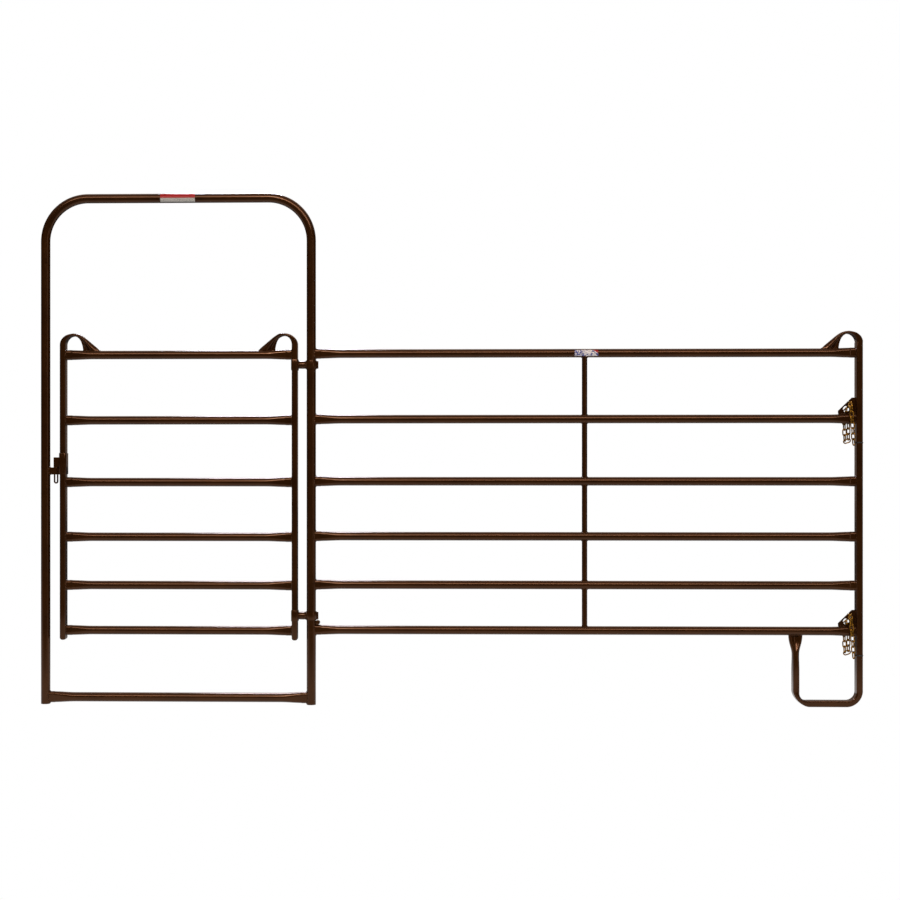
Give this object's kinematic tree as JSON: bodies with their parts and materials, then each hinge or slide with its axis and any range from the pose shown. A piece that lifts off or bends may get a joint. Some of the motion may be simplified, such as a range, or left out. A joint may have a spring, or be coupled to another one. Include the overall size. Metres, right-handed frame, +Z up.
{
  "type": "livestock panel gate",
  "caption": "Steel tube livestock panel section with a swinging walk-through gate under a tall bow, a slide latch and connecting chains",
  "frame": {"origin": "on the ground, under the middle of the section's length, in the middle plane of the tubes", "axes": "+X along the section from the gate to the skid foot, -Y towards the front face (labels, free chain ends), +Z up"},
  "size_m": [3.658, 0.0728, 2.286],
  "materials": {
    "coat": "gloss powder coat, dark brown",
    "chain": "zinc plated, yellow passivated",
    "tie": "black nylon",
    "bow_label": "plain vinyl, red over pale grey",
    "rail_label": "plain vinyl, white with blue and red"
  },
  "bodies": {
    "frame": {"bow_tube": "coat", "threshold_rail": "coat", "panel_rail_1": "coat", "panel_rail_2": "coat", "panel_rail_3": "coat", "panel_rail_4": "coat", "panel_rail_5": "coat", "panel_rail_6": "coat", "centre_stay_1": "coat", "centre_stay_2": "coat", "centre_stay_3": "coat", "centre_stay_4": "coat", "centre_stay_5": "coat", "end_upright": "coat", "skid_foot": "coat", "corner_plate_upper": "coat", "corner_plate_lower": "coat", "chain_upper": "chain", "chain_lower": "chain", "chain_tie_upper": "tie", "chain_tie_lower": "tie", "latch_keeper": "coat", "hinge_lug": "coat", "bow_label": "bow_label", "rail_label": "rail_label"},
    "gate": {"gate_stile_latch": "coat", "gate_stile_hinge": "coat", "gate_rail_1": "coat", "gate_rail_2": "coat", "gate_rail_3": "coat", "gate_rail_4": "coat", "gate_rail_5": "coat", "gate_rail_6": "coat", "hinge_sleeve_upper": "coat", "hinge_sleeve_lower": "coat", "hinge_arm_upper": "coat", "hinge_arm_lower": "coat", "hinge_ring_upper": "coat", "hinge_ring_lower": "coat"},
    "latch": {"latch_sleeve": "coat", "latch_tongue": "coat", "latch_eye": "coat"},
    "upper_chain_tail": {"chain_tail_upper": "chain"},
    "lower_chain_tail": {"chain_tail_lower": "chain"}
  },
  "joints": [
    {"name": "gate_swing", "type": "hinge", "parent": "frame", "child": "gate", "pos_m": [-0.61365, 0, 0.9], "axis": [0, 0, 1], "range_deg": [-135, 135]},
    {"name": "latch_lift", "type": "slide", "parent": "gate", "child": "latch", "axis": [0, 0, 1], "range_m": [0, 0.08]},
    {"name": "upper_chain_swing", "type": "hinge", "parent": "frame", "child": "upper_chain_tail", "pos_m": [1.77466, -0.01525, 1.34464], "axis": [-1, 0, 0], "range_deg": [0, 40]},
    {"name": "lower_chain_swing", "type": "hinge", "parent": "frame", "child": "lower_chain_tail", "pos_m": [1.77466, -0.01525, 0.40364], "axis": [-1, 0, 0], "range_deg": [0, 40]}
  ]
}
